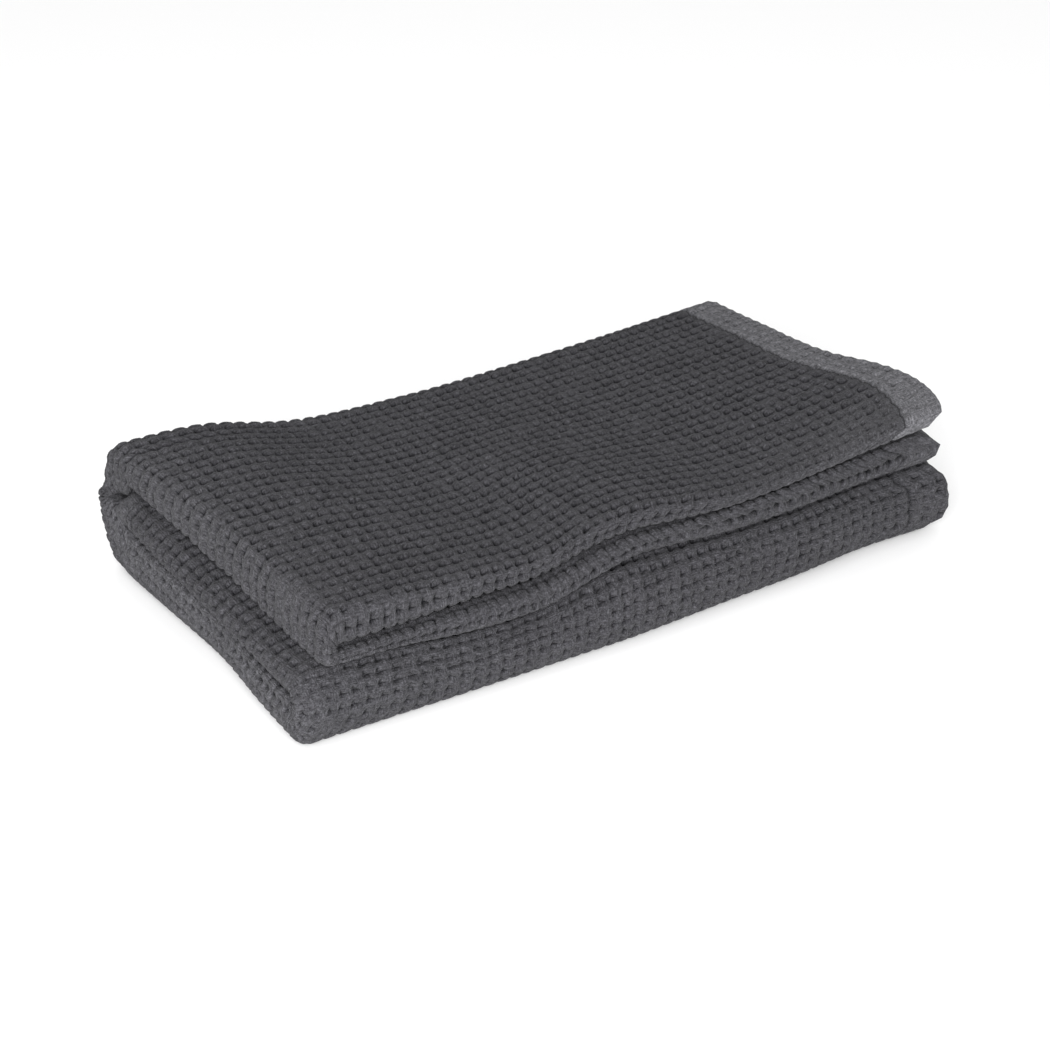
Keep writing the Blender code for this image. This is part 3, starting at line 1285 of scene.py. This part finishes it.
@dataclass(frozen=True)
class FuzzPattern:
    """Cotton fuzz: fine and middle noise for its height, and a wider one for its tone.

    Args:
        name: the group's name.
        noises: scale and detail of the fine, the middle and the wide noise.
        fine_height: the fine noise's height, as a part of the middle one's.
        fine_tone: what the fine noise is multiplied by for the tone, and what is added to it.
        middle_tone: the same for the middle noise.
        wide_tone: the same for the wide noise.
    """

    name: str = "cotton_fuzz"
    noises: tuple[tuple[float, float], ...] = ((900.0, 2.0), (420.0, 3.0), (28.0, 2.0))
    fine_height: float = 0.8
    fine_tone: tuple[float, float] = (1.8, 0.1)
    middle_tone: tuple[float, float] = (1.2, 0.4)
    wide_tone: tuple[float, float] = (0.24, 0.88)

    def group(self) -> Tree:
        """Return the fuzz's node group, built once.

        The height is the middle noise and a part of the fine one. The tone is the product of all
        three, each first made stronger or weaker.
        """
        if self.name in bpy.data.node_groups:
            return bpy.data.node_groups[self.name]
        tree, place, end = new_group(self.name, "Place", ("Height", "Tone"))
        chain = MathChain(tree)
        fine, middle, wide = (chain.noise(place, *noise) for noise in self.noises)
        height = chain.step("MULTIPLY_ADD", fine, self.fine_height, middle)
        tree.links.new(height, end.inputs["Height"])
        fine = chain.step("MULTIPLY_ADD", fine, *self.fine_tone)
        middle = chain.step("MULTIPLY_ADD", middle, *self.middle_tone)
        wide = chain.step("MULTIPLY_ADD", wide, *self.wide_tone)
        tone = chain.step("MULTIPLY", chain.step("MULTIPLY", middle, fine), wide)
        tree.links.new(tone, end.inputs["Tone"])
        return tree


@dataclass
class Blanket:
    """The blanket's visible cloth, in a few meshes that meet on the weave's ridges.

    The margins are the rows or columns by which a fine panel goes on past a turn of the fold.

    Args:
        weave: the weave on the folded cloth.
        finish: the cotton.
        rim_bulge: how far a hem's folded edge stands out.
        rim_steps: mesh steps round a hem's folded edge.
        top_margin: rows before the back turn's end and after the long fold.
        front_margin: rows before the front turn.
        lower_margins: rows before and after the long fold on the lower layer.
        left_margin: columns before the left turn.
    """

    weave: Weave = field(default_factory=Weave)
    finish: CottonFinish = field(default_factory=CottonFinish)
    rim_bulge: float = 1.8 * MM
    rim_steps: int = 6
    top_margin: int = 3
    front_margin: int = 5
    lower_margins: tuple[int, int] = (4, 6)
    left_margin: int = 9

    def build(self) -> list[Piece]:
        """Build every mesh of the cloth."""
        self.cotton = self.finish.material()
        weave = self.weave
        turns = weave.turn_rows
        turn, last, rows = weave.turn_column, weave.columns, weave.rows
        top_back = int(turns.back_end) - self.top_margin
        top_front = math.ceil(turns.long_end) + self.top_margin
        front_top = int(turns.front_start) - self.front_margin
        front_under = math.ceil(turns.front_end)
        back_under = int(turns.back_start)
        lower_back = int(turns.long_start) - self.lower_margins[0]
        lower_front = math.ceil(turns.long_end) + self.lower_margins[1]
        ends = turn - self.left_margin
        top = [Panel((0, turn), (top_back, top_front), Grain.FINE)]
        rolls = [
            Panel((0, turn), (back_under, top_back), Grain.FINE),
            Panel((0, turn), (front_top, front_under), Grain.FINE),
            Panel((ends, turn), (0, front_top), Grain.FINE),
            Panel((ends, turn), (front_under, back_under), Grain.FINE),
            Panel((turn, last), (lower_back, lower_front), Grain.FINE),
        ]
        layers = [
            Panel((0, ends), (front_under, back_under), Grain.COARSE),
            Panel((0, ends), (0, front_top), Grain.COARSE),
            Panel((0, turn), (top_front, rows), Grain.COARSE),
            Panel((turn, last), (0, lower_back), Grain.COARSE),
            Panel((turn, last), (lower_front, rows), Grain.COARSE),
        ]
        whole = [Panel((0, last), (0, rows), Grain.COARSE)]
        return [
            self.cloth_piece("waffle_top_third", top, Side.SHOWN),
            self.cloth_piece("waffle_rolls", rolls, Side.SHOWN),
            self.cloth_piece("waffle_layers", layers, Side.SHOWN),
            self.cloth_piece("waffle_inner_face", whole, Side.INNER),
        ]

    def panel_faces(self, panel: Panel) -> Array:
        """Return a panel's faces, as the lattice keys of their four corners.

        On the panel's border every corner goes to the nearest half cell, so that panels with
        different steps meet without a gap.

        Args:
            panel: the panel.

        Returns:
            Column and row key of each face's corners.
        """
        grain = Grain.FINE.value
        step = grain // panel.grain.value
        first = np.array([panel.columns[0], panel.rows[0]]) * grain
        last = np.array([panel.columns[1], panel.rows[1]]) * grain
        low = np.stack(np.meshgrid(
            np.arange(first[0], last[0], step),
            np.arange(first[1], last[1], step),
            indexing="ij",
        ), axis=-1).reshape(-1, 1, 2)
        corners = low + np.array([(0, 0), (step, 0), (step, step), (0, step)])
        half = grain // 2
        snapped = (corners + half // 2) // half * half
        for axis in (0, 1):
            on_border = (corners[..., axis] == first[axis]) | (corners[..., axis] == last[axis])
            other = 1 - axis
            corners[..., other] = np.where(on_border, snapped[..., other], corners[..., other])
        return corners

    def cloth_piece(self, name: str, panels: list[Panel], side: Side) -> Piece:
        """Build one mesh of woven cloth.

        Args:
            name: the piece's name.
            panels: the rectangles of the lattice that it covers.
            side: the face of the cloth.

        Returns:
            The piece, with its weave map, attributes and finish.
        """
        weave = self.weave
        corners = np.concatenate([self.panel_faces(panel) for panel in panels])
        if side is Side.INNER:
            corners = corners[:, ::-1]
        stride = weave.rows * Grain.FINE.value + 1
        codes, index = np.unique(corners[..., 0] * stride + corners[..., 1], return_inverse=True)
        index = index.reshape(-1, 4)
        column = weave.places(weave.columns)[codes // stride]
        row = weave.places(weave.rows)[codes % stride]
        # depth here is the painted shade of the pits, creases and stitch grooves, not a length
        points, _, depth = weave.face(column, row, side)
        if side is Side.INNER:
            rim = self.rim()
            index = np.concatenate([index, rim[3] + len(points)])
            points, column, row = (
                np.concatenate(pair) for pair in zip((points, column, row), rim[:3])
            )
            depth = np.concatenate([depth, np.zeros(len(points) - len(depth))])
        piece = mesh_piece(name, points, index)
        lattice = np.stack([column, row], axis=1)
        # the paleness given here is partly painted light
        dress_cloth(piece, lattice, depth, weave.pale(column, row), self.cotton)
        cells = sum((p.columns[1] - p.columns[0]) * (p.rows[1] - p.rows[0]) for p in panels)
        length = max(p.columns[1] for p in panels) - min(p.columns[0] for p in panels)
        declare(piece, (length * weave.cell, cells / length * weave.cell))
        return piece

    def rim(self) -> tuple[Array, Array, Array, Array]:
        """Return the rounded edge that runs round the cloth, from its shown to its inner face.

        Across the edge each point is m + h cos(t) + o sin(t), with t from 0 to a half turn, m the
        middle between the two faces, h half the way between them and o the way outwards.

        Returns:
            The points, their columns and rows, and the faces.
        """
        weave, cloth = self.weave, self.weave.cloth
        columns, rows = weave.columns, weave.rows
        half_cell = 0.5
        by_column = np.arange(0.0, columns, half_cell)
        by_row = np.arange(0.0, rows, half_cell)
        column = np.concatenate([
            by_column, np.full(len(by_row), columns), columns - by_column, np.zeros(len(by_row))
        ])
        row = np.concatenate([
            np.zeros(len(by_column)), by_row, np.full(len(by_column), rows), rows - by_row
        ])
        shown, _, _ = weave.face(column, row, Side.SHOWN)
        inner, _, _ = weave.face(column, row, Side.INNER)
        along, across = weave.at(column, row)
        edge = cloth.place(along, across, 0.0)
        outward = np.zeros_like(edge)
        for place, last, step in (
            (column, columns, (np.clip(along, EDGE_PROBE, cloth.flat_length - EDGE_PROBE), across)),
            (row, rows, (along, np.clip(across, EDGE_PROBE, cloth.flat_width - EDGE_PROBE))),
        ):
            way = edge - cloth.place(*step, 0.0)
            way /= np.maximum(np.linalg.norm(way, axis=1), NO_LENGTH)[:, None]
            outward += way * ((place == 0) | (place == last))[:, None]
        middle, half = (shown + inner) / 2, (shown - inner) / 2
        turn = np.linspace(0.0, math.pi, self.rim_steps + 1)[:, None, None]
        points = middle + half * np.cos(turn) + outward * self.rim_bulge * np.sin(turn)
        points[..., 2] = np.maximum(points[..., 2], 0.0)
        count = len(column)
        ring, place = np.meshgrid(np.arange(self.rim_steps), np.arange(count), indexing="ij")
        after = (place + 1) % count
        faces = np.stack([
            ring * count + place, ring * count + after,
            (ring + 1) * count + after, (ring + 1) * count + place,
        ], axis=-1).reshape(-1, 4)
        repeat = self.rim_steps + 1
        return points.reshape(-1, 3), np.tile(column, repeat), np.tile(row, repeat), faces


@dataclass
class HemStitches:
    """The hems' stitches: one line along each end and two along each side.

    Args:
        weave: the weave on the folded cloth.
        finish: the sewing thread.
        step: from one stitch to the next.
        filled: the part of a step that its stitch fills.
        radius: the thread's radius.
        lift: how far the line of the stitches lies over the cloth.
        arch: how high a whole stitch would stand.
        sunk: the part of the arch that lies under that line.
        cut: what a stitch lacks of the arch's half turn at each end, in radians.
        fullness: power of the arch by which the thread thins towards its ends.
        from_corner: how far from the cloth's edge a line starts, in cells.
        line_gap: from a side's first line to its second, in cells.
        rings: rings of points along a stitch.
        sides: points in a ring.
    """

    weave: Weave
    finish: ThreadFinish = field(default_factory=ThreadFinish)
    step: float = 3.6 * MM
    filled: float = 0.82
    radius: float = 0.32 * MM
    lift: float = 0.2 * MM
    arch: float = 0.5 * MM
    sunk: float = 0.6
    cut: float = 0.25
    fullness: float = 0.4
    from_corner: float = 0.3
    line_gap: float = 0.45
    rings: int = 5
    sides: int = 5

    def build(self) -> Piece:
        """Sew the hems: short threads that rise out of the cloth and dip into it again.

        A thread's middle line is the groove's line raised by arch * (sin(s) - sunk), and its radius
        is radius * sin(s) ^ fullness, with s from nearly 0 to nearly a half turn along it.
        """
        weave = self.weave
        columns, rows, hem = weave.columns, weave.rows, weave.hem.width
        step = self.step / weave.cell
        by_row = np.arange(self.from_corner, rows - self.from_corner, step)
        by_column = np.arange(self.from_corner, columns - self.from_corner, step)
        lines = [
            (np.full(len(by_row), place), by_row, (0.0, 1.0))
            for place in (hem, columns - hem)
        ] + [
            (by_column, np.full(len(by_column), place), (1.0, 0.0))
            for place in (hem, hem - self.line_gap, rows - hem, rows - hem + self.line_gap)
        ]
        column, row = (np.concatenate([line[k] for line in lines])[:, None] for k in (0, 1))
        way = np.concatenate([np.tile(line[2], (len(line[0]), 1)) for line in lines])
        share = np.linspace(0.0, 1.0, self.rings)
        run = (share - 0.5) * step * self.filled
        shape = (len(column), len(share))
        column = np.broadcast_to(column + way[:, :1] * run, shape).ravel()
        row = np.broadcast_to(row + way[:, 1:] * run, shape).ravel()
        middle, normal, _ = weave.face(column, row, Side.SHOWN, self.lift)
        swell = np.sin(self.cut + share * (math.pi - 2.0 * self.cut))
        swell = np.tile(swell, shape[0])[:, None]
        middle = (middle + normal * (swell - self.sunk) * self.arch).reshape(*shape, 3)
        normal = normal.reshape(*shape, 3)
        ahead = np.gradient(middle, axis=1)
        ahead /= np.linalg.norm(ahead, axis=2)[..., None]
        beside = np.cross(ahead, normal)
        around = (np.arange(self.sides) / self.sides * 2 * math.pi)[:, None]
        radius = self.radius * swell.reshape(*shape, 1, 1) ** self.fullness
        points = middle[:, :, None] + radius * (
            np.cos(around) * normal[:, :, None] + np.sin(around) * beside[:, :, None]
        )
        return thread_piece("hem_stitches", points, self.finish.material())


def thread_piece(name: str, points: Array, material: Material) -> Piece:
    """Join many short threads into one mesh.

    A thread's wall joins every ring to the next, and a fan of triangles closes each end.

    Args:
        name: the piece's name.
        points: for each thread, its rings of points.
        material: the thread's material.

    Returns:
        The piece, closed at both ends of every thread.
    """
    threads, rings, sides, _ = points.shape
    first = np.arange(threads)[:, None, None] * rings * sides
    ring, side = np.meshgrid(np.arange(rings - 1), np.arange(sides), indexing="ij")
    after = (side + 1) % sides
    wall = np.stack([
        ring * sides + side, (ring + 1) * sides + side,
        (ring + 1) * sides + after, ring * sides + after,
    ], axis=-1).reshape(-1, 4)
    fan = np.stack([np.zeros(sides - 2), np.arange(1, sides - 1), np.arange(2, sides)], axis=1)
    fan = fan.astype(int)
    caps = np.concatenate([fan, (rings - 1) * sides + fan[:, ::-1]])
    caps = np.concatenate([caps, caps[:, 2:]], axis=1)
    faces = (first + np.concatenate([wall, caps])).reshape(-1, 4)
    piece = mesh_piece(name, points.reshape(-1, 3), faces)
    piece.data.materials.append(material)
    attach(piece, "root")
    return piece


def mesh_piece(name: str, points: Array, corners: Array) -> Piece:
    """Build a smooth mesh from quads, of which some have two corners in one place.

    Args:
        name: the piece's name.
        points: the vertices.
        corners: four vertex numbers for each face.

    Returns:
        The piece, linked to the scene.
    """
    same = corners == np.roll(corners, -1, axis=1)
    quads = corners[same.sum(axis=1) == 0]
    pinched = corners[same.sum(axis=1) == 1]
    keep = ~same[same.sum(axis=1) == 1]
    triangles = pinched[keep].reshape(-1, 3)
    loops = np.concatenate([quads.ravel(), triangles.ravel()])
    totals = np.concatenate([np.full(len(quads), 4), np.full(len(triangles), 3)])
    mesh = bpy.data.meshes.new(name)
    mesh.vertices.add(len(points))
    mesh.vertices.foreach_set("co", points.ravel())
    mesh.loops.add(len(loops))
    mesh.loops.foreach_set("vertex_index", loops.astype(np.int32))
    mesh.polygons.add(len(totals))
    starts = np.concatenate([[0], np.cumsum(totals)[:-1]])
    mesh.polygons.foreach_set("loop_start", starts.astype(np.int32))
    mesh.update(calc_edges=True)
    mesh.validate()
    mesh.shade_smooth()
    piece = bpy.data.objects.new(name, mesh)
    bpy.context.scene.collection.objects.link(piece)
    return piece


def dress_cloth(
    piece: Piece, coordinates: Array, depth: Array, hem: Array, material: Material
) -> None:
    """Give a cloth mesh its weave map, its depth attribute of painted shade, its hem attribute of
    paleness that is partly painted light, and its material.

    Args:
        piece: the cloth mesh's object.
        coordinates: column and row of each vertex.
        depth: each vertex's painted shade, darkest in the pits, creases and stitch grooves.
        hem: how pale each vertex is coloured, partly painted light.
        material: the cotton.
    """
    mesh = piece.data
    corners = np.empty(len(mesh.loops), dtype=np.int32)
    mesh.loops.foreach_get("vertex_index", corners)
    weave = mesh.uv_layers.new(name="weave")
    weave.data.foreach_set("uv", coordinates[corners].ravel())
    # the depth attribute carries painted shade
    # the hem attribute carries paleness that is partly painted light
    for name, values in (("depth", depth), ("hem", hem)):
        attribute = mesh.attributes.new(name, "FLOAT", "POINT")
        attribute.data.foreach_set("value", values)
    mesh.materials.append(material)


def declare(piece: Piece, flat: tuple[float, float]) -> None:
    """Attach a cloth piece to the root, hide the imported part that it replaces and log its flat
    size.

    Args:
        piece: the cloth piece.
        flat: its flat size.
    """
    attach(piece, "root")
    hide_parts(NODE)
    log.info("%s: %d faces, flat %.2f x %.2f m", piece.name, len(piece.data.polygons), *flat)


@dataclass
class Studio:
    """A pale floor, soft light and the photograph's camera.

    Args:
        floor_reach: half the floor's side.
        floor_colour: the floor's colour.
        floor_roughness: how matt it is.
        room_light: strength of the white light from all around.
        lamp_place: where the lamp hangs, above the front left.
        lamp_size: the lamp's side.
        lamp_power: the lamp's power in watts.
        azimuth: camera's turn about Z, in degrees.
        elevation: camera's height above the level, in degrees.
        distance: camera to target.
        target: the point in the middle of the picture.
        lens: focal length for the sensor's width, in millimetres.
        sensor: the sensor's width, in millimetres.
    """

    floor_reach: float = 6.0
    floor_colour: Triple = (0.92, 0.92, 0.92)
    floor_roughness: float = 0.9
    room_light: float = 0.95
    lamp_place: Triple = (-1.08, -1.54, 0.68)
    lamp_size: float = 1.4
    lamp_power: float = 68.0
    azimuth: float = -31.88
    elevation: float = 28.6
    distance: float = 1.55
    target: Triple = (-0.0763, -0.1097, 0.092)
    lens: float = 78.857
    sensor: float = 36.0

    def build(self) -> None:
        """Build the floor, the light and the camera."""
        self.floor()
        self.light()
        self.camera()

    def floor(self) -> None:
        """Lay the pale floor: one square face."""
        mesh = bpy.data.meshes.new("floor")
        reach = self.floor_reach
        corners = [(-reach, -reach, 0), (reach, -reach, 0), (reach, reach, 0), (-reach, reach, 0)]
        mesh.from_pydata(corners, [], [(0, 1, 2, 3)])
        floor = bpy.data.objects.new("floor", mesh)
        bpy.context.scene.collection.objects.link(floor)
        material, _, shader = new_material("pale_floor", self.floor_roughness)
        shader.inputs["Base Color"].default_value = (*self.floor_colour, 1.0)
        mesh.materials.append(material)

    def light(self) -> None:
        """Light the room evenly in white, and hang a square soft lamp that faces the blanket."""
        world = bpy.data.worlds.new("studio")
        world.use_nodes = True
        room = world.node_tree.nodes["Background"]
        room.inputs["Color"].default_value = (1.0, 1.0, 1.0, 1.0)
        room.inputs["Strength"].default_value = self.room_light
        bpy.context.scene.world = world
        bpy.context.scene.view_settings.view_transform = "Standard"
        lamp = bpy.data.lights.new("front", "AREA")
        lamp.size = self.lamp_size
        lamp.energy = self.lamp_power
        holder = bpy.data.objects.new("front", lamp)
        holder.location = self.lamp_place
        holder.rotation_euler = (-Vector(self.lamp_place)).to_track_quat("-Z", "Y").to_euler()
        bpy.context.scene.collection.objects.link(holder)

    def camera(self) -> None:
        """Set the camera at the photograph's angle."""
        turn, rise = math.radians(self.azimuth), math.radians(self.elevation)
        back = Vector((
            math.sin(turn) * math.cos(rise),
            -math.cos(turn) * math.cos(rise),
            math.sin(rise),
        ))
        camera = bpy.data.cameras.new("camera")
        camera.lens = self.lens
        camera.sensor_width = self.sensor
        holder = bpy.data.objects.new("camera", camera)
        holder.location = Vector(self.target) + back * self.distance
        holder.rotation_euler = back.to_track_quat("Z", "Y").to_euler()
        bpy.context.scene.collection.objects.link(holder)
        bpy.context.scene.camera = holder


def main() -> None:
    """Build the studio, the blanket and its stitches."""
    logging.basicConfig(level=logging.INFO, format="%(message)s")
    Studio().build()
    blanket = Blanket()
    for piece in (*blanket.build(), HemStitches(blanket.weave).build()):
        log.info("built %s", piece.name)


if __name__ == "__main__":
    main()
